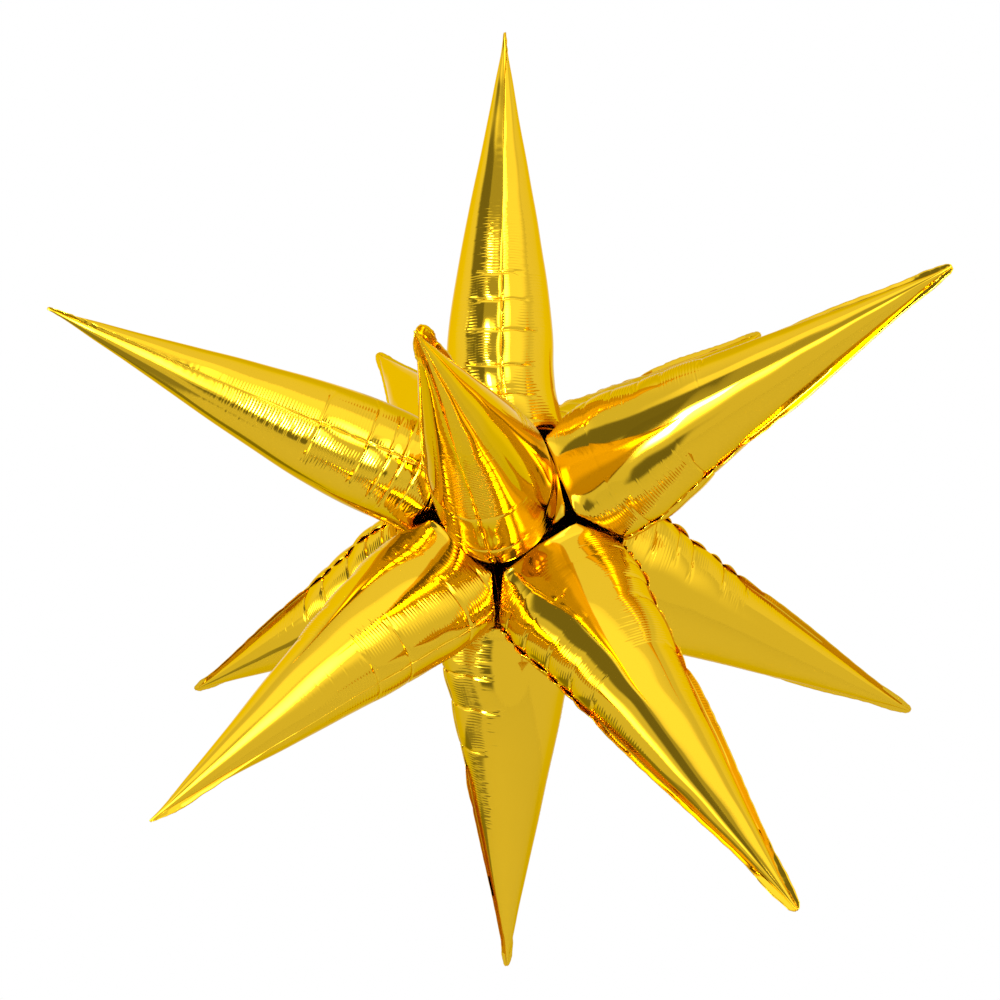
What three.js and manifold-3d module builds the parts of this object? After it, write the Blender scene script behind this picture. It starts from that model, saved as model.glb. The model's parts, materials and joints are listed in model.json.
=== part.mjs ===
// Foil starburst: twelve inflated foil cones, each welded from two panels,
// tied tail to tail on one ribbon so that their tips point out of a ball.
// Millimetres, +Z up, -Y is the front, and the origin is the tie at the centre.

import * as THREE from 'three';
import { mergeVertices } from 'three/addons/utils/BufferGeometryUtils.js';
import Module from 'manifold-3d';

const wasm = await Module();
wasm.setup();

// Inflated cone, measured along its axis from the tie
const spikeReach = 355;        // to the end of the sealed tip
const bellyReach = 150;        // end of the full part, where the long taper starts
const neckReach = 32;          // mouth of the gathered neck
const neckRadius = 6;
const halfThickness = 40.5;    // of the swollen foot, square to the welds
const halfWidth = 49.5;        // and from its middle to a weld
const packingAngle = 28.6;     // degrees: half-angle that a foot keeps to, so that the feet can rock
const tipRadius = 1.2;         // inflated radius where the tip's seal begins
const slipStartReach = 55;     // a foot that has slipped aside is still in its place here
const slipFullReach = 115;     // and has slipped all its way here

// Foil and its welded seam
const foilWall = 0.5;          // stand-in for the film, whose real thickness is 0.04
const seamGap = 0.3;           // between the two panels along the weld
const seamWidth = 5;           // welded band outside the inflated cone
const tuckedSeamWidth = 0.4;   // where the swollen foot hides the band in a groove
const seamEmergeReach = 120;   // the band starts to come out of its groove here
const seamFullReach = 194;     // and has its full width from here

// Tie and the film tail of each cone's valve
const tieRadius = 20;          // centre to the punched holes
const ribbonRadius = 0.75;
const ribbonClearance = 0.75;
const tailEndReach = 14;       // inner end of the tail's flat tab
const tabWidth = 9;
const tabThickness = 1.2;
const stemOutLength = 5;       // of round stem outside the neck, before it flattens into the tab
const stemClearance = 0.35;    // between the stem and the neck that turns on it
const valveDepth = 14;         // of valve film inside the cone
const knotRadius = 2.6;
const ribbonEndLength = 9;     // the two cut ends that stick out of the knot
const ribbonEndSpread = 18;    // degrees

// Sections
const arcSteps = 6;            // facets over each panel's half circle
const stemSides = 12;
const ribbonSides = 8;
const ribbonStepsPerSpan = 5;  // from each hole to the next
const unit = 1;

// Name, azimuth from the front toward +X, elevation, turn of the seam (degrees), reach as a share of
// spikeReach, and how far the foot has slipped toward +X and +Z as shares of tieRadius.
// The ribbon passes through them in this order.
const spikeShares = [
  ['top', -13.5, 85.5, 105, 1.003, -0.6, 0],
  ['upper_left', -74, 23.7, 3, 1.01, 0, 0],
  ['rear_low_left', -120.5, -24.5, 46, 1.002, 0, 0],
  ['rear', 169.5, -22.5, 30, 1, 0, 0],
  ['rear_low_right', 102.5, -25, 105, 1.014, 0, 0.08],
  ['lower_right', 32, -36, 39, 1.028, 0.05, 0.05],
  ['bottom', -173.5, -82.5, 168, 0.989, -0.2, 0],
  ['lower_left', -48, -31.5, 157, 0.962, 0, 0],
  ['front', -8, 15, 90, 0.997, 0, 0],
  ['upper_right', 59, 26.5, 85, 0.998, 0.08, -0.13],
  ['rear_high_right', 133.5, 29, 65, 1.001, 0, 0],
  ['rear_high_left', -155, 27.5, 135, 0.993, 0, 0],
];

// Foot of the cone: [reach as a share of the shoulder's, share of halfWidth, share of halfThickness].
// The shoulder is where halfThickness would touch the packing cone, and no foot leaves that cone.
const footShares = [
  [0.5, 0.32, 0.395], [0.6, 0.46, 0.56], [0.7, 0.565, 0.68], [0.82, 0.667, 0.78], [0.96, 0.78, 0.885],
  [1.12, 0.9, 0.955], [1.32, 0.985, 0.995], [1.54, 0.98, 1], [1.77, 0.905, 0.985],
];
// Taper: [share of the way from the belly's end to the tip's seal, share of halfWidth, share of halfThickness]
const taperShares = [
  [0, 0.84, 0.943], [0.225, 0.646, 0.775], [0.45, 0.469, 0.565], [0.66, 0.293, 0.353], [0.84, 0.145, 0.178],
];
// Rounded end of the sealed tip: [share of the tip's length, share of the band's half width]
const tipRoundShares = [[0.7, 0.72], [1, 0.35]];

const foilMaterial = new THREE.MeshStandardMaterial({ color: 0xd9ac1e, roughness: 0.08, metalness: 1 });
const filmMaterial = new THREE.MeshStandardMaterial({ color: 0xe4e2da, roughness: 0.35, metalness: 0 });
const ribbonMaterial = new THREE.MeshStandardMaterial({ color: 0xd2a62a, roughness: 0.4, metalness: 0.2 });

const radians = THREE.MathUtils.degToRad;

// Half width of the welded band outside the cone at a reach
function bandWidth(reach) {
  const out = THREE.MathUtils.smoothstep(reach, seamEmergeReach, seamFullReach);
  return THREE.MathUtils.lerp(tuckedSeamWidth, seamWidth, out);
}

// Stations of one cone: [reach, half width and half thickness inflated, half width of the band]
function coneStations(tip) {
  const shoulder = halfThickness / Math.tan(radians(packingAngle));
  const seal = tip - seamWidth;
  const stations = [[neckReach, neckRadius, neckRadius, tuckedSeamWidth]];
  for (const [along, width, thickness] of footShares) {
    const reach = shoulder * along;
    stations.push([reach, halfWidth * width, halfThickness * thickness, bandWidth(reach)]);
  }
  for (const [along, width, thickness] of taperShares) {
    const reach = THREE.MathUtils.lerp(bellyReach, seal, along);
    stations.push([reach, halfWidth * width, halfThickness * thickness, bandWidth(reach)]);
  }
  stations.push([seal, tipRadius, tipRadius, seamWidth]);
  for (const [along, width] of tipRoundShares) {
    const radius = tipRadius * width;
    stations.push([seal + seamWidth * along, radius, radius, seamWidth * width]);
  }
  return stations;
}

// Closed section of one panel, open toward the seam plane y = 0
function panelSection(width, thickness, band) {
  const low = seamGap / 2;
  const high = low + foilWall;
  const swell = Math.max(thickness - high, foilWall / 2);
  const bore = Math.max(width - foilWall, width / 2);
  const outer = [];
  const inner = [];
  for (let i = 0; i <= arcSteps; i += 1) {
    const turn = Math.PI * i / arcSteps;
    outer.push([width * Math.cos(turn), high + swell * Math.sin(turn)]);
    inner.push([-bore * Math.cos(turn), low + swell * Math.sin(turn)]);
  }
  const edge = width + band;
  return [[edge, low], [edge, high], ...outer, [-edge, high], [-edge, low], ...inner];
}

// Closed body through a row of sections with as many points each: [z, [[x, y], ...]]
function loft(rows) {
  const count = rows[0][1].length;
  const positions = [];
  const indices = [];
  for (const [z, section] of rows) {
    for (const [x, y] of section) positions.push(x, y, z);
  }
  for (let r = 0; r < rows.length - 1; r += 1) {
    for (let i = 0; i < count; i += 1) {
      const a = r * count + i;
      const b = r * count + (i + 1) % count;
      indices.push(a, b, b + count, a, b + count, a + count);
    }
  }
  const last = (rows.length - 1) * count;
  for (const [start, flipped] of [[0, true], [last, false]]) {
    const section = rows[start / count][1].map(([x, y]) => new THREE.Vector2(x, y));
    for (const [a, b, c] of THREE.ShapeUtils.triangulateShape(section, [])) {
      indices.push(start + a, start + (flipped ? c : b), start + (flipped ? b : c));
    }
  }
  const geometry = new THREE.BufferGeometry();
  geometry.setAttribute('position', new THREE.Float32BufferAttribute(positions, 3));
  geometry.setIndex(indices);
  return geometry;
}

// Share of its slip that a foot has at a reach: none at the neck, all at the belly and none at the tip
function slipShare(reach, tip) {
  const out = THREE.MathUtils.smoothstep(reach, slipStartReach, slipFullReach);
  return out * (1 - reach / tip);
}

// One panel, whose foot has slipped sideways by a vector in the panel's own frame
function panelGeometry(tip, slip) {
  const rows = coneStations(tip).map(([reach, width, thickness, band]) => {
    const aside = slip.clone().multiplyScalar(slipShare(reach, tip));
    const section = panelSection(width, thickness, band);
    return [reach, section.map(([x, y]) => [x + aside.x, y + aside.y])];
  });
  return loft(rows);
}

function toSolid(geometry, matrix = new THREE.Matrix4()) {
  const bare = geometry.clone().applyMatrix4(matrix);
  bare.deleteAttribute('normal');
  bare.deleteAttribute('uv');
  const merged = mergeVertices(bare);
  return new wasm.Manifold(new wasm.Mesh({
    numProp: 3,
    vertProperties: new Float32Array(merged.attributes.position.array),
    triVerts: new Uint32Array(merged.index.array),
  }));
}

function fromSolid(solid) {
  const mesh = solid.getMesh();
  const geometry = new THREE.BufferGeometry();
  geometry.setAttribute('position', new THREE.BufferAttribute(new Float32Array(mesh.vertProperties), 3));
  geometry.setIndex(new THREE.BufferAttribute(new Uint32Array(mesh.triVerts), 1));
  return geometry;
}

// A rod along +Z between two reaches
function rod(radiusLow, radiusHigh, from, to, sides) {
  const geometry = new THREE.CylinderGeometry(radiusHigh, radiusLow, to - from, sides);
  return toSolid(geometry.rotateX(Math.PI / 2).translate(0, 0, (from + to) / 2));
}

// Valve film along +Z: a flat tab with the punched hole, whose axis is X, and a round stem
function valveTailGeometry() {
  const neckBore = (neckRadius - foilWall - seamGap / 2) * Math.cos(Math.PI / (2 * arcSteps));
  const stemRadius = neckBore - stemClearance;
  const holeRadius = ribbonRadius + ribbonClearance;
  const tabRoot = neckReach - stemOutLength;
  const straight = tabRoot - tieRadius;
  const tabBox = new THREE.BoxGeometry(tabThickness, tabWidth, straight);
  const tab = toSolid(tabBox.translate(0, 0, tieRadius + straight / 2));
  const roundEnd = new THREE.CylinderGeometry(tabWidth / 2, tabWidth / 2, tabThickness, stemSides);
  const round = toSolid(roundEnd.rotateZ(Math.PI / 2)
    .scale(unit, unit, (tieRadius - tailEndReach) / (tabWidth / 2)).translate(0, 0, tieRadius));
  const shoulder = rod(tabThickness / 2, stemRadius, tabRoot - stemRadius, tabRoot, stemSides);
  const stem = rod(stemRadius, stemRadius, tabRoot, neckReach + valveDepth, stemSides);
  const holeTool = new THREE.CylinderGeometry(holeRadius, holeRadius, tabWidth, stemSides);
  const hole = toSolid(holeTool.rotateZ(Math.PI / 2).translate(0, 0, tieRadius));
  return fromSolid(tab.add(round).add(shoulder).add(stem).subtract(hole));
}

// Groups that turn +Z into a spike's axis; the last one turns the seam
function spikeGroups(azimuth, elevation, seamTurn) {
  const swing = new THREE.Group();
  const tilt = new THREE.Group();
  const turn = new THREE.Group();
  swing.rotation.z = radians(azimuth);
  tilt.rotation.x = radians(90 - elevation);
  turn.rotation.z = radians(seamTurn);
  swing.add(tilt);
  tilt.add(turn);
  swing.updateMatrixWorld(true);
  return { swing, tilt, turn };
}

const placed = spikeShares.map(([name, azimuth, elevation, seamTurn, reachShare, slipX, slipZ]) => {
  const groups = spikeGroups(azimuth, elevation, seamTurn);
  const axis = new THREE.Vector3(0, 0, unit).transformDirection(groups.turn.matrixWorld);
  const slip = new THREE.Vector3(slipX, 0, slipZ).multiplyScalar(tieRadius);
  slip.applyMatrix4(groups.turn.matrixWorld.clone().invert());
  return { name, tip: spikeReach * reachShare, axis, slip, ...groups };
});

// A path whose steps are shared out evenly between its points, so that a section lies in each hole
class ThreadedPath extends THREE.CatmullRomCurve3 {
  getPointAt(u, target) {
    return this.getPoint(u, target);
  }

  getTangentAt(u, target) {
    return this.getTangent(u, target);
  }
}

// The ribbon leaves the knot, passes the twelve holes in turn and comes back to it
const holes = placed.map(({ axis }) => axis.clone().multiplyScalar(tieRadius));
const knotCentre = holes[0].clone().add(holes[holes.length - 1]).multiplyScalar(unit / 2);
const ribbonPath = new ThreadedPath([knotCentre, ...holes, knotCentre], false, 'catmullrom');

function ribbonGeometry() {
  const section = new THREE.Shape();
  for (let i = 0; i < ribbonSides; i += 1) {
    const turn = 2 * Math.PI * i / ribbonSides;
    const x = ribbonRadius * Math.cos(turn);
    const y = ribbonRadius * Math.sin(turn);
    if (i === 0) section.moveTo(x, y);
    else section.lineTo(x, y);
  }
  const steps = ribbonStepsPerSpan * (holes.length + 1);
  const loop = toSolid(new THREE.ExtrudeGeometry(section, { steps, extrudePath: ribbonPath, bevelEnabled: false }));
  const lump = new THREE.SphereGeometry(knotRadius, ribbonSides * 2, ribbonSides);
  let solid = loop.add(toSolid(lump.translate(...knotCentre.toArray())));
  const outward = knotCentre.clone().normalize();
  const along = holes[0].clone().sub(holes[holes.length - 1]).normalize();
  const hinge = outward.clone().cross(along).normalize();
  for (const side of [-1, 1]) {
    const aim = outward.clone().applyAxisAngle(hinge, radians(side * ribbonEndSpread));
    const end = new THREE.CylinderGeometry(ribbonRadius, ribbonRadius, ribbonEndLength, ribbonSides);
    const pose = new THREE.Matrix4().compose(
      knotCentre.clone().addScaledVector(aim, ribbonEndLength / 2),
      new THREE.Quaternion().setFromUnitVectors(new THREE.Vector3(0, unit, 0), aim),
      new THREE.Vector3(unit, unit, unit),
    );
    solid = solid.add(toSolid(end, pose));
  }
  return fromSolid(solid);
}

// Turn of a tail about its own axis that lines its hole up with the ribbon
function tailTurn({ tilt }, index) {
  const along = ribbonPath.getTangent((index + 1) / (holes.length + 1));
  const local = along.transformDirection(tilt.matrixWorld.clone().invert());
  return Math.atan2(local.y, local.x);
}

const star = new THREE.Group();
const ribbon = new THREE.Mesh(ribbonGeometry(), ribbonMaterial);
ribbon.name = 'tie_ribbon';
star.add(ribbon);

const tailShape = valveTailGeometry();
placed.forEach((spike, index) => {
  const tail = new THREE.Mesh(tailShape, filmMaterial);
  tail.name = `valve_tail_${spike.name}`;
  tail.rotation.z = tailTurn(spike, index);
  spike.tilt.add(tail);

  const front = new THREE.Mesh(panelGeometry(spike.tip, spike.slip), foilMaterial);
  front.name = `foil_a_${spike.name}`;
  const back = new THREE.Mesh(panelGeometry(spike.tip, spike.slip.clone().negate()), foilMaterial.clone());
  back.name = `foil_b_${spike.name}`;
  back.rotation.z = Math.PI;
  spike.turn.add(front, back);
  star.add(spike.swing);
});

export default star;
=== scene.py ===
import json
import math

import bpy
import numpy as np
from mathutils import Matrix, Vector

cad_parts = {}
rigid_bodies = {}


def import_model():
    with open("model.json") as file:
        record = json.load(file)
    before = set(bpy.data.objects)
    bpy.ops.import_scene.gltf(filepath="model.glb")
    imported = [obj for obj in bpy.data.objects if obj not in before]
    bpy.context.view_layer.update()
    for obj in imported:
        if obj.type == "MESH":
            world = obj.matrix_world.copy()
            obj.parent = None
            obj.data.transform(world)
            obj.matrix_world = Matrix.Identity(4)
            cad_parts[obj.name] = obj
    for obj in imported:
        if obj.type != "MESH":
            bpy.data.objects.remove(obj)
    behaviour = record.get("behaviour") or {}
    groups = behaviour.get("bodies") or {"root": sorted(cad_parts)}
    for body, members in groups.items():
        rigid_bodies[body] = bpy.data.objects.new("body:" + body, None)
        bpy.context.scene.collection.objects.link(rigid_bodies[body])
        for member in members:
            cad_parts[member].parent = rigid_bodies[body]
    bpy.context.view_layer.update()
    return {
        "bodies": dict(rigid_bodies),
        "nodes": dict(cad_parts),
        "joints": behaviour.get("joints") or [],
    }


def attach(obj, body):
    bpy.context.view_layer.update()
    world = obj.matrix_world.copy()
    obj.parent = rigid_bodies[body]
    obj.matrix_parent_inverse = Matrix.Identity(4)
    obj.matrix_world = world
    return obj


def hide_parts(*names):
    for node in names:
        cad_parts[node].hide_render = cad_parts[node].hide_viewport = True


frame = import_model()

mm = 0.001
white = (1, 1, 1, 1)
scene = bpy.context.scene
scene.view_settings.view_transform = "Standard"


# Camera: level, facing the star's centre, at the photograph's distance

camera = {
    "place": (0.0, -0.954, 0.0),
    "lens": 45.93,
    "sensor": 36,
    "shift": (-0.0137, 0.0213),
    "clipStart": 0.01,
}


def addCamera():
    bpy.ops.object.camera_add(location=camera["place"], rotation=(math.pi / 2, 0, 0))
    cam = bpy.context.object
    cam.name = "camera"
    cam.data.lens = camera["lens"]
    cam.data.sensor_width = camera["sensor"]
    cam.data.shift_x, cam.data.shift_y = camera["shift"]
    cam.data.clip_start = camera["clipStart"]
    scene.camera = cam


addCamera()
print("camera in place")


# Node materials

def newMaterial(name):
    mat = bpy.data.materials.new(name)
    mat.use_nodes = True
    return mat, mat.node_tree, mat.node_tree.nodes["Principled BSDF"]


def setInputs(tree, node, **inputs):
    # by socket name, with _ for a space; an output is linked and a value is set
    for key, value in inputs.items():
        socket = node.inputs[key.replace("_", " ")]
        if isinstance(value, bpy.types.NodeSocket):
            tree.links.new(value, socket)
        else:
            socket.default_value = value


def addNode(tree, kind, **inputs):
    node = tree.nodes.new(kind)
    setInputs(tree, node, **inputs)
    return node


def objectPlace(tree):
    return tree.nodes.new("ShaderNodeTexCoord").outputs["Object"]


def mixColours(tree, factor, first, second):
    mix = tree.nodes.new("ShaderNodeMix")
    mix.data_type = "RGBA"
    setInputs(tree, mix, Factor=factor, A=first, B=second)
    return mix.outputs["Result"]


def spread(tree, factor, ends):
    low, high = ends
    return addNode(tree, "ShaderNodeMapRange", Value=factor, To_Min=low, To_Max=high).outputs["Result"]


def addBump(tree, height, strength, depth):
    bump = addNode(tree, "ShaderNodeBump", Height=height, Strength=strength, Distance=depth)
    return bump.outputs["Normal"]


foilLook = {
    "gold": (0.80, 0.508, 0.022, 1),
    "deepGold": (0.77, 0.478, 0.018, 1),
    "edgeTint": (0.91, 0.73, 0.31, 1),
    "roughness": (0.05, 0.085),
    "tintScale": 9.0,
    "tintDetail": 3.0,
    "filmScale": 240.0,
    "filmDetail": 2.0,
    "filmBump": 0.03,
    "filmDepth": 0.0002,
}


def goldFoil():
    mat, tree, shader = newMaterial("gold_foil")
    place = objectPlace(tree)
    tint = addNode(tree, "ShaderNodeTexNoise", Vector=place, Scale=foilLook["tintScale"],
                   Detail=foilLook["tintDetail"]).outputs["Fac"]
    film = addNode(tree, "ShaderNodeTexNoise", Vector=place, Scale=foilLook["filmScale"],
                   Detail=foilLook["filmDetail"]).outputs["Fac"]
    setInputs(tree, shader, Metallic=1.0, Specular_Tint=foilLook["edgeTint"],
              Base_Color=mixColours(tree, tint, foilLook["gold"], foilLook["deepGold"]),
              Roughness=spread(tree, tint, foilLook["roughness"]),
              Normal=addBump(tree, film, foilLook["filmBump"], foilLook["filmDepth"]))
    return mat


filmLook = {
    "clear": (0.80, 0.79, 0.75, 1),
    "cloudy": (0.66, 0.64, 0.58, 1),
    "roughness": (0.22, 0.45),
    "pleatScale": 700.0,
    "pleatDetail": 3.0,
    "pleatBump": 0.5,
    "pleatDepth": 0.0003,
}


def valveFilm():
    # thin plastic gathered in fine pleats along the valve
    mat, tree, shader = newMaterial("valve_film")
    pleat = addNode(tree, "ShaderNodeTexNoise", Vector=objectPlace(tree), Scale=filmLook["pleatScale"],
                    Detail=filmLook["pleatDetail"]).outputs["Fac"]
    setInputs(tree, shader, Base_Color=mixColours(tree, pleat, filmLook["clear"], filmLook["cloudy"]),
              Roughness=spread(tree, pleat, filmLook["roughness"]),
              Normal=addBump(tree, pleat, filmLook["pleatBump"], filmLook["pleatDepth"]))
    return mat


ribbonLook = {
    "gold": (0.78, 0.55, 0.14, 1),
    # shade: painted shade in the weave's grooves, the colour where the weave's bump dips
    "shade": (0.50, 0.32, 0.06, 1),
    "roughness": 0.38,
    "sheen": 0.3,
    "weaveScale": 1400.0,
    "weaveDistortion": 1.5,
    "weaveDetail": 2.0,
    "weaveBump": 0.4,
    "weaveDepth": 0.0002,
}


def wovenRibbon():
    mat, tree, shader = newMaterial("woven_ribbon")
    texture = addNode(tree, "ShaderNodeTexWave", Vector=objectPlace(tree), Scale=ribbonLook["weaveScale"],
                      Detail=ribbonLook["weaveDetail"], Distortion=ribbonLook["weaveDistortion"])
    weave = texture.outputs["Fac"]
    setInputs(tree, shader, Roughness=ribbonLook["roughness"], Sheen_Weight=ribbonLook["sheen"],
              # painted shade: the colour darkens toward shade in the grooves, where the weave's bump is
              # low
              Base_Color=mixColours(tree, weave, ribbonLook["shade"], ribbonLook["gold"]),
              Normal=addBump(tree, weave, ribbonLook["weaveBump"], ribbonLook["weaveDepth"]))
    return mat


foilMat, filmMat, ribbonMat = goldFoil(), valveFilm(), wovenRibbon()
for name, node in frame["nodes"].items():
    if name.startswith("valve_tail_"):
        for materialSlot in node.material_slots:
            materialSlot.material = filmMat
print("materials made")


# Foil cones: each is one closed skin of its two panels and their welded band, in millimetres.
# A reach is a distance from the tie along a cone's axis, and a pair of reaches is a stretch over
# which something comes or goes.

skin = {
    "seed": 7,
    "arcColumns": 62,          # round each panel
    "finColumns": 4,           # over each side of the welded band
    "seamCrowding": 0.84,      # how much closer the columns lie beside the seam
    "fineStep": 0.46,          # row spacing over the ribbed part
    "coarseStep": 2.0,         # and toward the tip
    "coarseFrom": (195, 300),
    "filmThickness": 0.3,
    "inset": 0.5,              # under the solid's surface, so that swells stay near it
    "insetFrom": (2, 12),      # half thicknesses over which the inset starts
    "sideBlend": 0.1,          # radians in a panel's middle where the reliefs of its two welds meet
    "reliefFrom": (32, 40),
    "reliefThickness": 20,     # half thickness under which the relief gets shallower
}

# How the solids' corners are read: they lie in rings, and a ring is widest at the weld's rim
rings = {
    "gap": 0.5,                # the least distance between two rings
    "decimals": 1,
    "leastBand": 0.15,
    "samples": 4000,           # along the profile, to measure its length
}

# The pressed foot: a blunt end, flattened where the neighbours press on it
foot = {
    "fullReach": 98,
    "endReach": 32.5,
    "bluntness": (3.4, 3.2),   # across the welds, and square to them
    "extraWidth": 3.2,         # past the welds, where the feet press on each other
    "extraFrom": (40, 60),
    "extraUntil": (85, 135),
    "holeReach": 20,           # where a cone hangs on the ribbon, and turns
    "widest": 45,
    "rock": math.radians(1.0),
    "swivel": math.radians(8.0),
    "clearance": 0.1,
    "leastFacing": 0.02,       # cosine from which a neighbour can press on the film
    "facingGuard": 1e-3,
    "unpressed": 1e3,          # room where no neighbour presses
    "leastRadius": 2,
    "hardness": 30,            # how sharply the film bends where the pressing starts
    "mostSwell": 1.4,          # how far the film may bulge into the corners between neighbours
    "halvings": 12,            # steps in the search for that swell
}

# Slow random waves
waver = {
    "terms": 3,
    "lengthSpread": (0.6, 1.6),
    "mostPhase": 6.3,
}

creases = {
    "firstReach": 186,         # outermost crease of a weld whose creases don't show in the photograph
    "firstSpread": (-12, 12),
    "lastReach": 46,
    "spacing": 0.17,           # from one crease to the next, as a share of its reach
    "spacingSpread": (0.6, 1.4),
    "depth": (0.6, 1.1),
    "width": 0.65,
    "steepness": 1.3,
    "length": (24, 38),        # from the weld round the panel
    "shorterBy": 0.35,         # share that the outer ones lose of it
    "shorterFrom": (120, 186),
    "endFade": (5, 3),         # before and past a crease's end
    "forkLength": 7,           # a crease ends in two short branches
    "forkSpread": 0.3,
    "bend": 0.9,
    "bendLength": 26,
    "gapingLoss": 0.5,         # share of the depth that is lost beside a gaping weld
    "besideWeld": (0, 5),      # distances from the weld
}

pillows = {
    "rise": 0.05,              # swell between two creases, as a share of their distance
    "riseSpread": (0.7, 1.3),
    "closedRise": 0.5,         # share of it beside a closed weld
    "closedDip": 0.35,         # share of it that is lost right at a closed weld
    "roundness": 0.8,
    "flatFrom": (14, 44),      # distances from the weld
}

ribs = {
    "pitch": 2.05,
    "height": 0.15,
    "heightSpread": (0.55, 1.2),
    "start": (7, 19),          # distances from the weld
    "length": (14, 27),
    "outerStart": 1.5,         # the patch past the outermost crease
    "outerEnd": (13, 19),
    "startFade": (1, 2),
    "endFade": (3, 2),
    "drift": 0.8,
    "driftLength": 40,
    "ragged": 3.5,             # how far the ribs of a patch end apart
    "raggedTurns": (2.4, 5.1),
    "raggedPhase": 6,
    "raggedShare": 0.6,        # of the second wave in it
    "raggedStart": 0.3,        # of it at the patch's start
    "steepness": 0.8,
    "from": (42, 54),
    "until": (205, 262),
    "stitchHeight": 0.04,      # short puckers right beside the weld
    "stitchFrom": (0.4, 1.4),
    "stitchUntil": (3, 6),
    "stitchLast": (300, 330),
}

# The weld is drawn in as a chain of slits, pinched at both ends
slits = {
    "pitch": 0.118,            # share of their reach that they are long
    "firstReach": 20,
    "sway": 0.25,
    "swayLength": 13.0,
    "roundness": 0.6,
    "depth": (0.7, 1.6),       # where pinched, and where open
    "width": (0.4, 0.9),
    "closedShare": 0.8,        # of both at a closed weld
    "gapingDepth": 1.2,        # what a gaping one adds to that share
    "gapingWidth": 1.7,
    "steepness": 1.3,
    "from": (34, 44),
    "until": (150, 215),
}

flutes = {
    "gap": (0.26, 0.62),       # radians from one ridge to the next
    "strength": 0.5,
    "strengthSpread": (0.3, 1.0),
    "sharpness": 0.22,
    "from": (120, 215),
}

dents = {
    "height": 0.16,
    "length": 60,
    "slant": 25,               # shift along the cone for a radian round it
    "from": (60, 110),
}

# Gathers of the film where the foot turns in to the neck
gathers = {
    "height": 0.6,
    "count": 11,               # round each panel
    "drift": 0.6,
    "driftLength": 17,
    "slant": 9,
    "from": (32, 37),
    "until": (36, 46),
}

# The welded bands: pressed against the cone past the foot, standing out toward the tip
bands = {
    "bareFrom": ((240, 320), (150, 205)),   # where a closed and a gaping weld's band comes out
    "gapingFrom": (58, 85),
    "gapingShow": 0.3,         # share of a gaping weld's band that comes out where it is pinched
    "freeFrom": (165, 240),
    "pressedFold": 1.15,
    "openFold": 0.55,
    "tipFlatness": 0.8,
    "flatFrom": (325, 346),
    "foldCurl": 1.3,
    "width": 5.0,
    "wideUntil": (170, 210),
    "narrowFrom": (225, 345),
    "sunk": 0.5,               # how deep a covered band lies under the cone's side
    "clearance": 0.3,
    "leastLength": 0.3,
    "steady": 0.45,            # how little a gaping weld's band follows its fold
    "steadyRim": 0.7,          # share of it that shows past the cone then
    "wave": 0.25,
    "waveLength": 17,
    "waveFrom": (40, 60),
    "waveCurl": 1.4,
    "freeLoss": 0.6,           # share of the wave that is lost where the band is free
    "tipCrinkle": 0.45,
    "tipWave": 6.5,
    "tipTerms": 4,
    "crinkleFrom": (305, 335),
    "lift": 0.25,
    "liftLength": 13,
    "tabFrom": (320, 346),
}


def weld(fold, gaping, reaches=(), bareFrom=None):
    # fold of the band in radians, how far the weld gapes from 0 to 1, reaches of the creases that
    # start there, outermost first, and the reaches over which its band comes out
    bareFrom = bareFrom or [np.interp(gaping, (0, 1), ends) for ends in zip(*bands["bareFrom"])]
    return {"fold": fold, "gaping": gaping, "reaches": reaches, "bareFrom": bareFrom}


# Each cone: share of the flutes' strength, turn of the tab at its tip in radians, share of the band's
# width that is left there, share of the creases' length, its +X weld and its -X weld
coneLooks = {
    "top": (0.6, 0.3, 0.6, 0.9, weld(0.2, 0.3), weld(-0.2, 0.0, (180, 161, 139, 114, 93, 76))),
    "upper_left": (0.7, 0.2, 0.6, 1.2, weld(0.6, 0.0, (164, 129, 113, 103, 91, 72, 58)), weld(0.5, 0.3)),
    "rear_low_left": (0.8, 0.0, 0.6, 1.0, weld(-0.6, 1.0, (188, 162, 129, 104)), weld(0.5, 0.2)),
    "rear": (0.8, 0.2, 0.6, 1.0, weld(0.5, 0.6), weld(-0.5, 0.6)),
    "rear_low_right": (0.8, 0.0, 0.6, 1.2, weld(0.4, 1.0, (183, 160, 130, 115, 95)),
                       weld(-0.4, 0.2, (70, 52))),
    "lower_right": (1.1, 0.2, 0.6, 0.8, weld(0.35, 0.8), weld(0.6, 1.0, (187, 164, 140, 116, 93, 75))),
    "bottom": (0.5, -0.2, 0.6, 1.3, weld(-1.0, 0.2, (66, 50)),
               weld(1.0, 0.1, (170, 136, 110, 87), (172, 205))),
    "lower_left": (0.9, 0.5, 0.6, 1.2, weld(0.7, 0.2), weld(0.5, 0.0, (180, 155, 107, 82))),
    "front": (0.45, -0.3, 1.0, 0.9, weld(-0.7, 0.2), weld(-0.3, 0.15, (153, 110, 74))),
    "upper_right": (1.0, 0.0, 0.6, 1.0, weld(-0.2, 0.2), weld(0.1, 0.7, (155, 103, 65))),
    "rear_high_right": (0.8, -0.2, 0.6, 1.0, weld(0.2, 0.6), weld(0.2, 0.6)),
    "rear_high_left": (0.8, 0.0, 0.6, 1.0, weld(0.2, 0.6), weld(0.2, 0.6)),
}


def smooth(x, low, high):
    t = np.clip((x - low) / (high - low), 0, 1)
    return t * t * (3 - 2 * t)


def wander(rng, x, length, terms=waver["terms"]):
    # slow random wave between about -1 and 1
    out = np.zeros_like(x, float)
    for _ in range(terms):
        waveLength = length * rng.uniform(*waver["lengthSpread"])
        out += np.sin(2 * np.pi * x / waveLength + rng.uniform(0, waver["mostPhase"])) / terms
    return out


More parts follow.
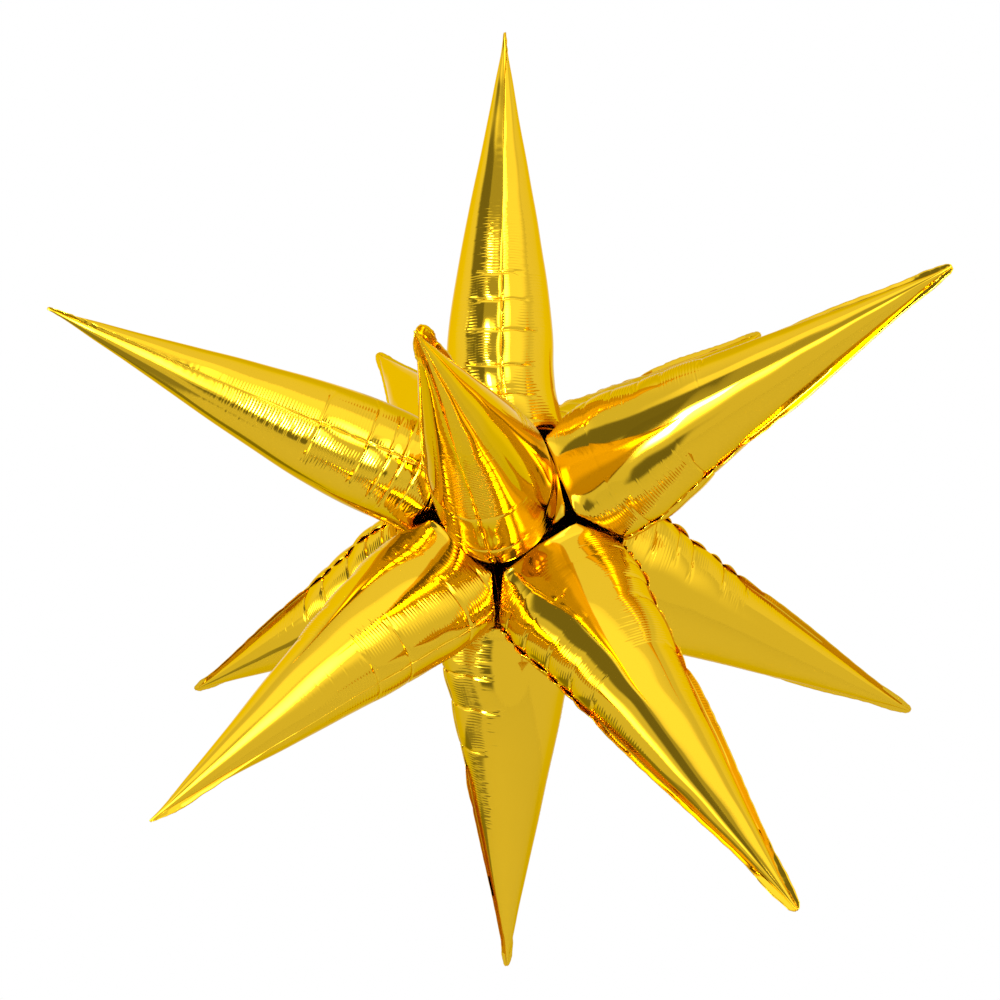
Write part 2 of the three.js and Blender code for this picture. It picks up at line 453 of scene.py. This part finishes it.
def curveThrough(points, samples):
    # smooth curve through the stations, at chord lengths
    points = np.array(points, float)
    knots = np.r_[0, np.cumsum(np.linalg.norm(np.diff(points[:, :2], axis=0), axis=1))]
    slopes = np.zeros_like(points)
    step = np.diff(knots)[:, None]
    rise = np.diff(points, axis=0) / step
    slopes[1:-1] = (rise[:-1] * step[1:] + rise[1:] * step[:-1]) / (step[1:] + step[:-1])
    slopes[0], slopes[-1] = rise[0], rise[-1]
    at = np.asarray(samples) * knots[-1]
    i = np.clip(np.searchsorted(knots, at, side="right") - 1, 0, len(knots) - 2)
    h = (knots[i + 1] - knots[i])[:, None]
    t = ((at - knots[i]) / h[:, 0])[:, None]
    a, b = points[i], points[i + 1]
    return (a * (2 * t**3 - 3 * t**2 + 1) + b * (3 * t**2 - 2 * t**3)
            + slopes[i] * h * (t**3 - 2 * t**2 + t) + slopes[i + 1] * h * (t**3 - t**2))


def jointAxis(name):
    joint = next(j for j in frame["joints"] if j["name"] == name)
    axis = np.array(joint["axis"], float)
    return axis / np.linalg.norm(axis)


def spikeAxis(spike):
    return jointAxis("swivel_" + spike)


def nodePoints(name):
    mesh = frame["nodes"][name].data
    co = np.empty(len(mesh.vertices) * 3, np.float32)
    mesh.vertices.foreach_get("co", co)
    return co.reshape(-1, 3).astype(float) / mm


def coneFrame(spike):
    # axis from the joint, seam direction from the two panels' middles, sections from their corners:
    # reach, half thickness, half width without the band, the band's width, and the middle's place
    axis = spikeAxis(spike)
    sides = [nodePoints("foil_a_" + spike), nodePoints("foil_b_" + spike)]
    up = sides[0].mean(0) - sides[1].mean(0)
    up -= axis * (up @ axis)
    up /= np.linalg.norm(up)
    axes = np.array([np.cross(up, axis), up, axis])
    local = np.concatenate(sides) @ axes.T
    local = local[np.argsort(local[:, 2])]
    breaks = np.flatnonzero(np.diff(local[:, 2]) > rings["gap"]) + 1
    stations = []
    for ring in np.split(local, breaks):
        low, high = ring.min(0), ring.max(0)
        middle = (low + high) / 2
        edge = (high[0] - low[0]) / 2
        asides = np.unique(np.round(np.abs(ring[:, 0] - middle[0]), rings["decimals"]))
        width = asides[asides < edge - rings["leastBand"]].max()
        thickness = (high[1] - low[1]) / 2
        stations.append((ring[:, 2].mean(), thickness, width, edge - width, middle[0], middle[1]))
    return axes, stations


def rowPlaces(stations):
    # shares of the profile's length, close together where the ribs are; the same for every cone
    dense = curveThrough(stations, np.linspace(0, 1, rings["samples"]))
    length = np.r_[0, np.cumsum(np.hypot(*np.diff(dense[:, :2], axis=0).T))]
    places, at = [0.0], 0.0
    while at < length[-1]:
        z = np.interp(at, length, dense[:, 0])
        at += skin["fineStep"] + (skin["coarseStep"] - skin["fineStep"]) * smooth(z, *skin["coarseFrom"])
        places.append(min(at, length[-1]))
    return np.array(places) / length[-1]


def bluntFoot(z, half, power):
    # a half width or half thickness that keeps its size down to a blunt end
    full = np.interp(foot["fullReach"], z, half)
    t = np.clip((foot["fullReach"] - z) / (foot["fullReach"] - foot["endReach"]), 0, 1)
    blunt = full * (1 - t**power) ** (1 / power)
    return np.where(z < foot["fullReach"], np.maximum(half, blunt), half)


def coneProfile(stations, places):
    rows = curveThrough(stations, places)
    z, thickness, width, band = rows[:, :4].T
    thickness = bluntFoot(z, thickness, foot["bluntness"][1])
    width = bluntFoot(z, width, foot["bluntness"][0])
    extra = (1 - smooth(z, *foot["extraUntil"])) * smooth(z, *foot["extraFrom"])
    width = width + foot["extraWidth"] * extra
    inset = skin["inset"] * smooth(thickness, *skin["insetFrom"])
    return z, thickness - inset, width - inset, band, rows[:, 4:6]


def cellRadius(spike, axes, z, angle, middle):
    # how far a foot may swell before it would meet a neighbour that leans and turns toward it
    hinge = axes @ jointAxis("rock_" + spike)
    limit = np.full((len(z), len(angle[0])), foot["unpressed"])
    for other in spikes:
        if other == spike:
            continue
        normal = spikeAxis(other) - axes[2]
        normal /= np.linalg.norm(normal)
        n = axes @ normal
        free = (-z * n[2] - middle @ n[:2] - foot["clearance"])[:, None]
        sway = ((hinge[1] * n[0] - hinge[0] * n[1]) * (z - foot["holeReach"]))[:, None]
        for swivel in (-foot["swivel"], 0, foot["swivel"]):
            c, s = np.cos(angle + swivel), np.sin(angle + swivel)
            toward = np.maximum(c * n[0] + s * n[1], foot["facingGuard"])
            radius = np.minimum(free / toward, foot["widest"])
            lean = np.abs(sway + radius * n[2] * (hinge[0] * s - hinge[1] * c)) * math.sin(foot["rock"])
            room = np.where(toward > foot["leastFacing"], (free - lean) / toward, foot["unpressed"])
            limit = np.minimum(limit, room)
    return np.maximum(limit, foot["leastRadius"])


def pressFoot(free, cell, angle):
    # the film keeps its girth, so what the neighbours press in swells into the corners between them
    def pressed(share):
        grown = free * share[:, None]
        return grown * (1 + (grown / cell) ** foot["hardness"]) ** (-1 / foot["hardness"])

    def girth(radius):
        x, y = radius * np.cos(angle), radius * np.sin(angle)
        return np.hypot(np.diff(x, append=x[:, :1]), np.diff(y, append=y[:, :1])).sum(1)

    goal = girth(free)
    low, high = np.ones(len(free)), np.full(len(free), foot["mostSwell"])
    for _ in range(foot["halvings"]):
        middle = (low + high) / 2
        short = girth(pressed(middle)) < goal
        low, high = np.where(short, middle, low), np.where(short, high, middle)
    return pressed(low)


def creaseReaches(rng, seen):
    # those that the photograph shows, and random ones on from there
    reaches, at = list(seen), creases["firstReach"] + rng.uniform(*creases["firstSpread"])
    if seen:
        at = seen[-1] * (1 - creases["spacing"])
    while at > creases["lastReach"]:
        reaches.append(at)
        at -= at * creases["spacing"] * rng.uniform(*creases["spacingSpread"])
    return np.array(reaches)


def creaseRelief(own, reaches, along, bent, lengthShare, kept):
    relief = np.zeros_like(along)
    shorter = 1 - creases["shorterBy"] * smooth(reaches, *creases["shorterFrom"])
    ends = own.uniform(*creases["length"], len(reaches)) * shorter * lengthShare
    before, past = creases["endFade"]
    for reach, end in zip(reaches, ends):
        fork = creases["forkSpread"] * np.maximum(along - end + creases["forkLength"], 0)
        away = np.abs(np.abs(bent - reach) - fork)
        fade = (1 - smooth(along, end - before, end + past)) * kept
        depth = own.uniform(*creases["depth"])
        relief -= depth * fade * np.exp(-(away / creases["width"]) ** creases["steepness"])
    return relief


def pillowRelief(own, reaches, place, within, cover, gaping):
    gaps = -np.diff(reaches) * own.uniform(*pillows["riseSpread"], len(reaches) - 1)
    rise = pillows["rise"] * (pillows["closedRise"] + (1 - pillows["closedRise"]) * gaping)
    return rise * gaps[place] * np.clip(4 * within * (1 - within), 0, 1) ** pillows["roundness"] * cover


def ribRelief(own, reaches, along, bent, place):
    # every pillow has its own patch of ribs, and so has the stretch past the last crease
    patch = np.where(bent > reaches[0], 0, place + 1)
    start = own.uniform(*ribs["start"], len(reaches) + 1)
    end = start + own.uniform(*ribs["length"], len(reaches) + 1)
    start[0], end[0] = ribs["outerStart"], own.uniform(*ribs["outerEnd"])
    strength = own.uniform(*ribs["heightSpread"], len(reaches) + 1)
    start, end = start[patch], end[patch]
    turns = (bent + ribs["drift"] * wander(own, bent, ribs["driftLength"])) / ribs["pitch"]
    slow, quick = ribs["raggedTurns"]
    first = np.sin(np.floor(turns) * slow + own.uniform(0, ribs["raggedPhase"]))
    uneven = ribs["ragged"] * (first + ribs["raggedShare"] * np.sin(np.floor(turns) * quick))
    before, past = ribs["startFade"]
    window = smooth(along, start - before, start + past + ribs["raggedStart"] * uneven)
    before, past = ribs["endFade"]
    window *= 1 - smooth(along, end - before + uneven, end + past + uneven)
    span = smooth(bent, *ribs["from"]) * (1 - smooth(bent, *ribs["until"]))
    comb = 1 - 2 * np.abs(np.sin(np.pi * turns)) ** ribs["steepness"]
    ribbed = ribs["height"] * strength[patch] * window * span * comb
    stitches = smooth(along, *ribs["stitchFrom"]) * (1 - smooth(along, *ribs["stitchUntil"]))
    stitches = stitches * (1 - smooth(bent, *ribs["stitchLast"]))
    return ribbed, ribs["stitchHeight"] * stitches * comb


def seamRelief(own, reaches, z, along, lengthShare, gaping):
    # creases, pillows between them and fine ribs on one panel beside one weld
    bent = z[:, None] + creases["bend"] * wander(own, along, creases["bendLength"])
    atWeld = 1 - smooth(along, *creases["besideWeld"])
    kept = 1 - creases["gapingLoss"] * gaping * atWeld
    creased = creaseRelief(own, reaches, along, bent, lengthShare, kept)

    # 0 at the outermost crease, 1 at the next, and so on inward
    count = np.interp(bent, reaches[::-1], np.arange(len(reaches))[::-1].astype(float))
    place = np.clip(count.astype(int), 0, len(reaches) - 2)
    dip = pillows["closedDip"] + (1 - pillows["closedDip"]) * gaping
    cover = (1 - dip * atWeld) * (1 - smooth(along, *pillows["flatFrom"]))
    cover = cover * ((bent < reaches[0]) & (bent > reaches[-1]))
    pillowed = pillowRelief(own, reaches, place, count - place, cover, gaping)
    ribbed, stitched = ribRelief(own, reaches, along, bent, place)
    return creased + pillowed + ribbed + stitched


def slitChain(start, z):
    # 0 where the weld is pinched, 1 where it gapes
    sway = slits["sway"] * np.sin(z / slits["swayLength"] + start)
    turns = np.log(np.maximum(z, slits["firstReach"])) / slits["pitch"] + start + sway
    return np.abs(np.sin(np.pi * turns)) ** slits["roundness"]


def slitRelief(link, z, along, gaping):
    wider = slits["closedShare"] + slits["gapingWidth"] * gaping
    deeper = slits["closedShare"] + slits["gapingDepth"] * gaping
    width = np.interp(link, (0, 1), slits["width"]) * wider
    depth = np.interp(link, (0, 1), slits["depth"]) * deeper
    depth *= (1 - smooth(z, *slits["until"])) * smooth(z, *slits["from"])
    return -depth[:, None] * np.exp(-(along / width[:, None]) ** slits["steepness"])


def fluteRelief(own, z, phi, radius, share):
    # long hollows that run out of the tip, between low ridges
    ridges = [0.0]
    while ridges[-1] < np.pi:
        ridges.append(ridges[-1] + own.uniform(*flutes["gap"]))
    ridges = np.array(ridges) * np.pi / ridges[-1]
    i = np.clip(np.searchsorted(ridges, phi, side="right") - 1, 0, len(ridges) - 2)
    gap = ridges[i + 1] - ridges[i]
    t = (phi - ridges[i]) / gap
    sharp, soft = 4 * t * (1 - t), np.sin(np.pi * t) ** 2
    # between two ridges a flat film would lie gap**2 / 8 of the radius under the round one
    hollow = -(flutes["sharpness"] * sharp + (1 - flutes["sharpness"]) * soft) * gap**2 / 8
    fading = own.uniform(*flutes["strengthSpread"], len(ridges))[i]
    fullness = smooth(z, *flutes["from"])
    return flutes["strength"] * share * (radius * fullness)[:, None] * (hollow * fading)[None, :]


def dentRelief(own, z, phi):
    slow = wander(own, z[:, None] + dents["slant"] * phi[None, :], dents["length"])
    return dents["height"] * slow * smooth(z, *dents["from"])[:, None]


def gatherRelief(own, z, phi):
    drift = wander(own, z[:, None] + gathers["slant"] * phi[None, :], gathers["driftLength"])
    folds = np.abs(np.sin(gathers["count"] * phi[None, :] + gathers["drift"] * drift))
    hollows = -gathers["height"] * (1 - folds) * (1 - smooth(z, *gathers["until"]))[:, None]
    return hollows * smooth(z, *gathers["from"])[:, None]


def panelRelief(own, z, phi, thickness, sides, fluteShare, creaseShare):
    relief, slit = np.zeros((2, len(z), len(phi)))
    for (look, reaches, link), q in zip(sides, (phi, np.pi - phi)):
        along = thickness[:, None] * q[None, :]
        near = 1 - smooth(q, np.pi / 2 - skin["sideBlend"], np.pi / 2 + skin["sideBlend"])
        relief += near * seamRelief(own, reaches, z, along, creaseShare, look["gaping"])
        slit += slitRelief(link, z, along, look["gaping"])
    relief += fluteRelief(own, z, phi, thickness, fluteShare)
    relief += dentRelief(own, z, phi)
    relief += gatherRelief(own, z, phi)
    thinning = np.clip(thickness / skin["reliefThickness"], 0, 1)
    relief *= smooth(z, *skin["reliefFrom"])[:, None] * thinning[:, None]
    return relief + slit


def bandRipple(own, z):
    kept = 1 - bands["freeLoss"] * smooth(z, *bands["freeFrom"])
    ripple = bands["wave"] * wander(own, z, bands["waveLength"]) * smooth(z, *bands["waveFrom"]) * kept
    crinkle = bands["tipCrinkle"] * wander(own, z, bands["tipWave"], bands["tipTerms"])
    return ripple + crinkle * smooth(z, *bands["crinkleFrom"])


def bandEdge(look, link, z, band, tipShare, seam, room, lift):
    # how far from the axis a band's rim lies, and how much of its width goes outward and aside
    fold, gaping = look["fold"], look["gaping"]
    bare = smooth(z, *look["bareFrom"])
    shown = bands["gapingShow"] + (1 - bands["gapingShow"]) * link
    bare += (1 - bare) * gaping * shown * smooth(z, *bands["gapingFrom"])
    wide = band + np.maximum(bands["width"] - band, 0) * (1 - smooth(z, *bands["wideUntil"]))
    wide = wide * (1 - (1 - tipShare) * smooth(z, *bands["narrowFrom"]))
    rim = seam + lift * bare + (wide + bands["sunk"]) * bare - bands["sunk"]
    free = smooth(z, *bands["freeFrom"])
    pressed = math.copysign(1, fold) * np.interp(link, (0, 1), (bands["pressedFold"], bands["openFold"]))
    flatter = 1 - bands["tipFlatness"] * smooth(z, *bands["flatFrom"])
    turned = pressed * (1 - free) + fold * free * flatter
    steady = bands["steady"] * gaping * (1 - free)
    outward = np.cos(turned) * (1 - steady) + bands["steadyRim"] * steady
    return np.minimum(rim, room - bands["clearance"]), outward, np.sin(turned)


def panelAngles():
    # round a panel from its +X weld to its -X weld, closer together beside both
    u = np.linspace(0, 1, skin["arcColumns"])
    return np.pi * (u - skin["seamCrowding"] * np.sin(2 * np.pi * u) / (2 * np.pi))


def pressedFaces(spike, axes, z, thickness, width, middle, phi):
    # for each panel without its relief: radius, the most it may be, and angle
    x, y = width[:, None] * np.cos(phi), thickness[:, None] * np.sin(phi)
    angle, free = np.arctan2(y, x), np.hypot(x, y)
    angle = np.concatenate([angle, -angle[:, ::-1]], axis=1)
    free = np.concatenate([free, free[:, ::-1]], axis=1)
    cell = cellRadius(spike, axes, z, angle, middle)
    around = np.stack([pressFoot(free, cell, angle), cell, angle])
    return around[:, :, :len(phi)], around[:, :, :len(phi) - 1:-1]


def panelWithFins(face, arc, edges, ripples):
    # one panel and its layer of the band at both welds
    film = skin["filmThickness"] / 2
    steps = (np.arange(skin["finColumns"]) + 1) / skin["finColumns"]
    x, y, lift = arc
    y = face * np.maximum(face * y, film)
    fins = []
    for side, sign in ((0, 1), (-1, -1)):
        rim, outward, aside = edges[side]
        root = np.abs(x[:, side])
        length = np.maximum(rim - root, bands["leastLength"])
        finX = sign * (root[:, None] + (length * outward)[:, None] * steps)
        finY = face * film + (length * aside)[:, None] * steps ** bands["foldCurl"]
        finY = finY + ripples[side][:, None] * steps ** bands["waveCurl"]
        fins.append(np.stack([finX, finY, np.repeat(lift[:, side, None], len(steps), 1)], axis=2))
    half = np.concatenate([fins[0][:, ::-1], np.stack([x, y, lift], axis=2), fins[1]], axis=1)
    return half if face == 1 else half[:, ::-1]


def coneSkin(spike, index, places):
    axes, stations = coneFrame(spike)
    z, thickness, width, band, middle = coneProfile(stations, places)
    slope = np.gradient(np.c_[z, thickness], axis=0)
    slope /= np.linalg.norm(slope, axis=1)[:, None]
    own = np.random.default_rng(skin["seed"] + index)
    fluteShare, tabTurn, tipShare, creaseShare, *welds = coneLooks[spike]
    reaches = [creaseReaches(own, look["reaches"]) for look in welds]
    links = [slitChain(start, z) for start in own.uniform(0, 1, 2)]
    sides = list(zip(welds, reaches, links))

    phi = panelAngles()
    faces = pressedFaces(spike, axes, z, thickness, width, middle, phi)
    arcs = []
    for base, cell, angle in faces:
        relief = panelRelief(own, z, phi, thickness, sides, fluteShare, creaseShare)
        radius = np.minimum(base + relief * slope[:, :1], cell)
        arcs.append((radius * np.cos(angle), radius * np.sin(angle), z[:, None] - relief * slope[:, 1:]))

    ripples = [bandRipple(own, z) for _ in welds]
    lifts = [bands["lift"] * wander(own, z, bands["liftLength"]) for _ in welds]
    seams, rooms, _ = faces[0]
    edges = [bandEdge(look, link, z, band, tipShare, seams[:, side], rooms[:, side], lift)
             for look, link, lift, side in zip(welds, links, lifts, (0, -1))]
    halves = [panelWithFins(face, arc, edges, ripples) for face, arc in zip((1, -1), arcs)]
    points = np.concatenate(halves, axis=1)
    tab = tabTurn * smooth(z, *bands["tabFrom"])[:, None]
    x, y = points[:, :, 0], points[:, :, 1]
    turned = np.stack([x * np.cos(tab) - y * np.sin(tab), x * np.sin(tab) + y * np.cos(tab)], axis=2)
    points[:, :, :2] = turned + middle[:, None, :]
    return points, axes


# The neck turns in on itself round the valve, and its sleeve is closed past the valve's end
sleeveSection = ((47.5, 3), (47, 5.3), (40, 5.3), (33, 5.3), (31.6, 5.6))   # reach and radius


def makeBlank(rows, columns):
    # a ball with a ring for each row; every cone is a copy of it, shaped to its own skin
    bpy.ops.mesh.primitive_uv_sphere_add(segments=columns, ring_count=rows + 1, radius=1)
    blank = bpy.context.object
    ball = np.empty(len(blank.data.vertices) * 3, np.float32)
    blank.data.vertices.foreach_get("co", ball)
    ball = ball.reshape(-1, 3)
    down = np.arctan2(np.hypot(ball[:, 0], ball[:, 1]), ball[:, 2])
    row = rows - np.rint(down * (rows + 1) / np.pi).astype(int)
    column = np.rint(np.arctan2(ball[:, 1], ball[:, 0]) * columns / (2 * np.pi)).astype(int) % columns
    return blank, row, column


def buildCone(spike, index, places, blank, row, column):
    points, axes = coneSkin(spike, index, places)
    outline = points[0] - points[0].mean(0)
    ring = np.arctan2(outline[:, 1], outline[:, 0])
    sleeve = [np.stack([radius * np.cos(ring), radius * np.sin(ring), np.full(len(ring), reach)], axis=1)
              for reach, radius in sleeveSection]
    place = np.concatenate([np.array(sleeve), points]) @ axes * mm
    rows = len(place)
    moved = place[np.clip(row, 0, rows - 1), column]
    moved[row < 0] = place[0].mean(0)
    moved[row >= rows] = place[-1].mean(0)

    cone = blank.copy()
    mesh = cone.data = blank.data.copy()
    cone.name = mesh.name = "foil_cone_" + spike
    scene.collection.objects.link(cone)
    mesh.vertices.foreach_set("co", moved.astype(np.float32).ravel())
    mesh.update()
    mesh.shade_smooth()
    mesh.materials.append(foilMat)
    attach(cone, "spike_" + spike)
    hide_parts("foil_a_" + spike, "foil_b_" + spike)


spikes = [body[len("spike_"):] for body in frame["bodies"] if body.startswith("spike_")]
places = rowPlaces(coneFrame(spikes[0])[1])
blankRows = len(places) + len(sleeveSection)
blank, row, column = makeBlank(blankRows, 2 * skin["arcColumns"] + 4 * skin["finColumns"])
for index, spike in enumerate(spikes):
    buildCone(spike, index, places, blank, row, column)
bpy.data.objects.remove(blank)
print("foil cones made:", len(spikes))


# Tie ribbon: its own solid, softened and rippled along its length

tie = {
    "mergeDistance": 0.00001,
    "rounding": 2,
    "ripple": 0.12,
    "rippleAcross": (1.9, 1.1),
    "rippleAlong": (1.7, -0.8),
}


def buildRibbon():
    solid = frame["nodes"]["tie_ribbon"]
    ribbon = solid.copy()
    mesh = ribbon.data = solid.data.copy()
    ribbon.name = mesh.name = "woven_tie"
    scene.collection.objects.link(ribbon)
    bpy.ops.object.select_all(action="DESELECT")
    ribbon.select_set(True)
    bpy.context.view_layer.objects.active = ribbon
    bpy.ops.object.mode_set(mode="EDIT")
    bpy.ops.mesh.select_all(action="SELECT")
    bpy.ops.mesh.remove_doubles(threshold=tie["mergeDistance"])
    bpy.ops.mesh.normals_make_consistent(inside=False)
    bpy.ops.object.mode_set(mode="OBJECT")
    rounded = ribbon.modifiers.new("rounded", "SUBSURF")
    rounded.levels = tie["rounding"]
    bpy.ops.object.modifier_apply(modifier="rounded")
    place, normal = np.empty((2, len(mesh.vertices) * 3), np.float32)
    mesh.vertices.foreach_get("co", place)
    mesh.vertices.foreach_get("normal", normal)
    x, y, z = place.reshape(-1, 3).T / mm
    (a, b), (c, d) = tie["rippleAcross"], tie["rippleAlong"]
    ripple = tie["ripple"] * np.sin(a * x + b * z) * np.sin(c * y + d * z)
    mesh.vertices.foreach_set("co", place + normal * np.repeat(ripple * mm, 3))
    mesh.update()
    mesh.shade_smooth()
    mesh.materials.clear()
    mesh.materials.append(ribbonMat)
    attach(ribbon, "tie")
    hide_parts("tie_ribbon")


buildRibbon()
print("tie ribbon made")


# Studio: white all round, soft boxes and grey flags that the foil mirrors, pale floor

studio = {
    "ambient": 0.8,
    "floorHeight": -1.7,
    "floorSize": 5.2,
    "floorGrey": 0.92,
    "floorRoughness": 0.9,
    "tentSize": 5.6,
    "tentGrey": 0.86,          # what the foil mirrors all round
    "cardDistance": 2.2,
    "coreDistance": 2.1,       # of the cards over coreLevel, in front of the others
    "coreLevel": 20,
    "boxLevel": 3,             # cards over this fade out faster, by boxFalloff
    "boxFalloff": 1.6,
}

keyLamp = {
    "place": (-0.5, -1.0, 1.6),
    "size": (1.2, 0.8),
    "power": 12,
}

# Azimuth from the camera toward +X and elevation, width and height, all in degrees; brightness
# beside the white background's 1; and how much of the half width fades out
cards = {
    "ceiling": (0, 88, 80, 80, 1.05, 0.6),
    "overhead_box": (2, 58, 100, 38, 1.5, 0.55),
    "front_right_box": (36, 26, 74, 58, 1.4, 0.8),
    "front_box": (11, 24, 36, 54, 9.0, 0.95),
    "camera_left_box": (-24, 2, 38, 40, 9.0, 0.9),
    "left_strip": (-76, -4, 42, 26, 8.0, 0.95),
    "rear_right_wall": (125, 14, 120, 66, 1.04, 0.3),
    "rear_left_wall": (-130, 18, 110, 64, 1.08, 0.35),
    "camera_left_core": (-31, 3, 12, 36, 130.0, 0.7),
    "left_flag": (-62, 27, 50, 26, 0.22, 0.3),
    "front_left_shade": (-20, 29, 46, 20, 0.5, 0.4),
    "front_left_flag": (-49, 14, 18, 36, 0.2, 0.4),
    "low_rear_flag": (-118, -37, 42, 14, 0.28, 0.4),
    "low_left_flag": (-74, -37, 48, 14, 0.34, 0.4),
    "low_front_flag": (-22, -27, 24, 15, 0.2, 0.5),
}


def mathNode(tree, operation, *values):
    node = tree.nodes.new("ShaderNodeMath")
    node.operation = operation
    for socket, value in zip(node.inputs, values):
        if isinstance(value, bpy.types.NodeSocket):
            tree.links.new(value, socket)
        else:
            socket.default_value = value
    return node.outputs[0]


def mixShaders(tree, factor, first, second):
    mix = addNode(tree, "ShaderNodeMixShader", Fac=factor)
    tree.links.new(first, mix.inputs[1])
    tree.links.new(second, mix.inputs[2])
    return mix.outputs[0]


def setWorld():
    # white where it is seen or mirrored, a little less as light
    world = bpy.data.worlds.new("studio")
    scene.world = world
    world.use_nodes = True
    tree = world.node_tree
    tree.nodes.clear()
    path = tree.nodes.new("ShaderNodeLightPath").outputs
    seen = mathNode(tree, "MAXIMUM", path["Is Camera Ray"], path["Is Glossy Ray"])
    seen = mathNode(tree, "MAXIMUM", seen, path["Is Transmission Ray"])
    bright = addNode(tree, "ShaderNodeBackground", Color=white, Strength=1.0).outputs[0]
    ambient = addNode(tree, "ShaderNodeBackground", Color=white, Strength=studio["ambient"]).outputs[0]
    addNode(tree, "ShaderNodeOutputWorld", Surface=mixShaders(tree, seen, ambient, bright))


def addFloor():
    bpy.ops.mesh.primitive_plane_add(size=studio["floorSize"], location=(0, 0, studio["floorHeight"]))
    floor = bpy.context.object
    floor.name = "floor"
    mat, tree, shader = newMaterial("pale_floor")
    grey = studio["floorGrey"]
    setInputs(tree, shader, Base_Color=(grey, grey, grey, 1), Roughness=studio["floorRoughness"])
    floor.data.materials.append(mat)


def emptyMaterial(name):
    mat = bpy.data.materials.new(name)
    mat.use_nodes = True
    mat.node_tree.nodes.clear()
    return mat, mat.node_tree


def showInFoilOnly(item):
    item.visible_camera = item.visible_diffuse = item.visible_shadow = False


def addTent():
    # pale grey tent round the set
    bpy.ops.mesh.primitive_cube_add(size=studio["tentSize"])
    tent = bpy.context.object
    tent.name = "tent"
    mat, tree = emptyMaterial("tent_cloth")
    glow = addNode(tree, "ShaderNodeEmission", Color=white, Strength=studio["tentGrey"]).outputs[0]
    addNode(tree, "ShaderNodeOutputMaterial", Surface=glow)
    tent.data.materials.append(mat)
    tent.visible_transmission = False
    showInFoilOnly(tent)


def addLamp():
    # lights the floor; the foil mirrors the cards instead
    bpy.ops.object.light_add(type="AREA", location=keyLamp["place"])
    lamp = bpy.context.object
    lamp.name = "key_lamp"
    lamp.rotation_euler = (-Vector(keyLamp["place"])).to_track_quat("-Z", "Y").to_euler()
    lamp.data.shape = "RECTANGLE"
    lamp.data.size, lamp.data.size_y = keyLamp["size"]
    lamp.data.energy = keyLamp["power"]
    lamp.visible_glossy = False


def cardMaterial(name, level, fade):
    # a glow that fades out toward the card's four sides
    mat, tree = emptyMaterial(name)
    split = addNode(tree, "ShaderNodeSeparateXYZ", Vector=objectPlace(tree)).outputs
    masks = []
    for axis in ("X", "Y"):
        ramp = addNode(tree, "ShaderNodeMapRange", Value=mathNode(tree, "ABSOLUTE", split[axis]),
                       From_Min=1.0, From_Max=1.0 - fade)
        ramp.interpolation_type = "SMOOTHSTEP"
        masks.append(ramp.outputs["Result"])
    mask = mathNode(tree, "MULTIPLY", *masks)
    if level > studio["boxLevel"]:
        mask = mathNode(tree, "POWER", mask, studio["boxFalloff"])
    clear = tree.nodes.new("ShaderNodeBsdfTransparent").outputs[0]
    glow = addNode(tree, "ShaderNodeEmission", Color=white, Strength=level).outputs[0]
    addNode(tree, "ShaderNodeOutputMaterial", Surface=mixShaders(tree, mask, clear, glow))
    return mat


def addCard(name, azimuth, elevation, width, height, level, fade):
    turn, rise = math.radians(azimuth), math.radians(elevation)
    away = Vector((math.sin(turn) * math.cos(rise), -math.cos(turn) * math.cos(rise), math.sin(rise)))
    distance = studio["coreDistance"] if level > studio["coreLevel"] else studio["cardDistance"]
    bpy.ops.mesh.primitive_plane_add(size=2, location=away * distance)
    card = bpy.context.object
    card.name = name
    card.scale = [distance * math.tan(math.radians(span / 2)) for span in (width, height)] + [1]
    card.rotation_euler = away.to_track_quat("Z", "Y").to_euler()
    card.data.materials.append(cardMaterial(name, level, fade))
    showInFoilOnly(card)


setWorld()
addFloor()
addTent()
addLamp()
for name, values in cards.items():
    addCard(name, *values)
print("studio set")
